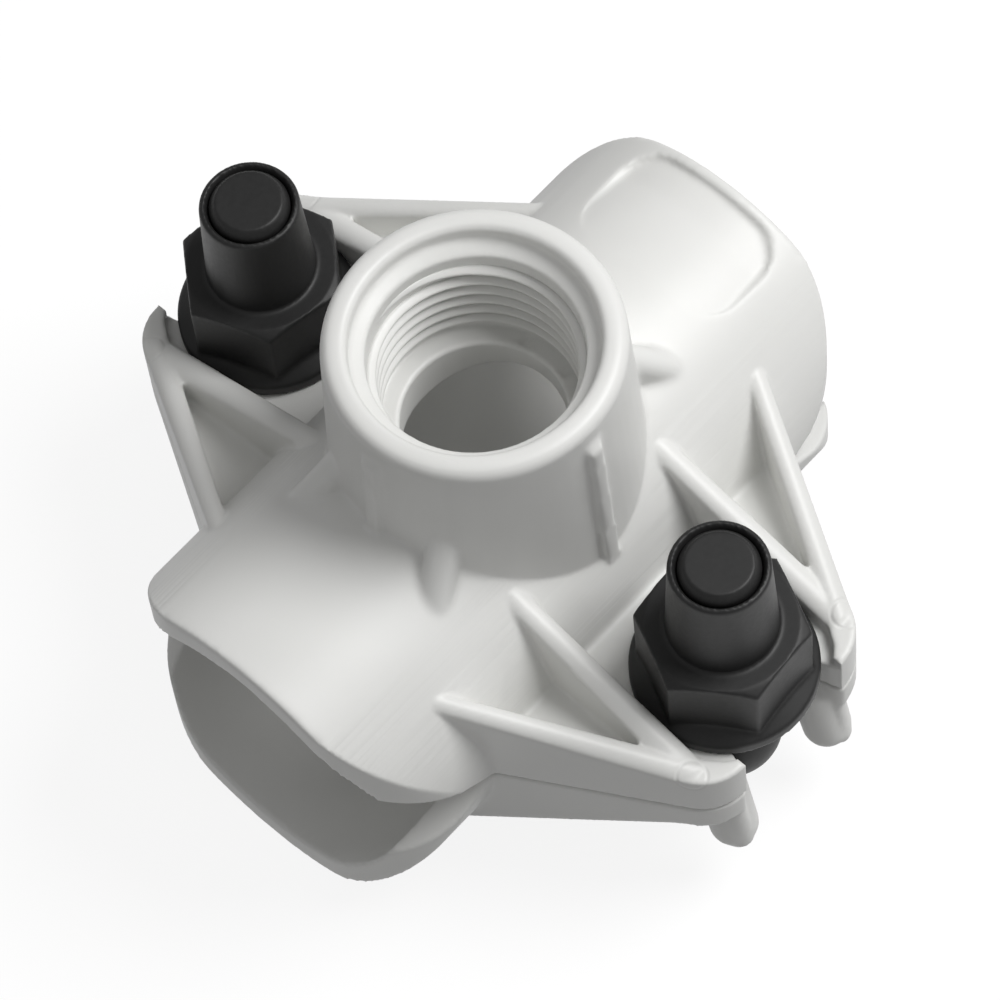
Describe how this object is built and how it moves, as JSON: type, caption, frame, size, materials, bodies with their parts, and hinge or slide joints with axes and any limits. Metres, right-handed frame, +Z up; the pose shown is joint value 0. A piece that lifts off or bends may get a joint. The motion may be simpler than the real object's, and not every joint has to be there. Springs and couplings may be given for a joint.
{
  "type": "tapping saddle",
  "caption": "Two-piece plastic clamp saddle for a pipe, with a raised female-threaded outlet boss, finned ears, swing bolts and long flanged nuts.",
  "frame": {"origin": "where the pipe axis meets the outlet axis, on the parting plane of the two halves", "axes": "+X along the pipe, away from the recessed panel; +Y along the ears towards the right-hand fastener; +Z up along the outlet"},
  "size_m": [0.07, 0.0792, 0.0542],
  "materials": {
    "saddle_plastic": "satin",
    "fastener_plastic": "satin",
    "seal_rubber": "matt"
  },
  "bodies": {
    "base": {"lower_saddle": "saddle_plastic", "left_bolt": "fastener_plastic", "right_bolt": "fastener_plastic"},
    "outlet_half": {"upper_saddle": "saddle_plastic", "outlet_seal": "seal_rubber"},
    "left_fastening": {"left_nut": "fastener_plastic"},
    "right_fastening": {"right_nut": "fastener_plastic"}
  },
  "joints": [
    {"name": "outlet_half_lift", "type": "slide", "parent": "base", "child": "outlet_half", "axis": [0, 0, 1], "range_m": [0, 0.01]},
    {"name": "left_nut_turn", "type": "hinge", "parent": "outlet_half", "child": "left_fastening", "pos_m": [0, -0.0302, 0.0046], "axis": [0, 0, 1], "range_deg": [0, 2881]},
    {"name": "right_nut_turn", "type": "hinge", "parent": "outlet_half", "child": "right_fastening", "pos_m": [0, 0.0302, 0.0046], "axis": [0, 0, 1], "range_deg": [0, 2881]}
  ],
  "couplings": [
    {"joint": "left_nut_turn", "follows": "outlet_half_lift", "rad_per_m": 5026.5},
    {"joint": "right_nut_turn", "follows": "outlet_half_lift", "rad_per_m": 5026.5}
  ]
}
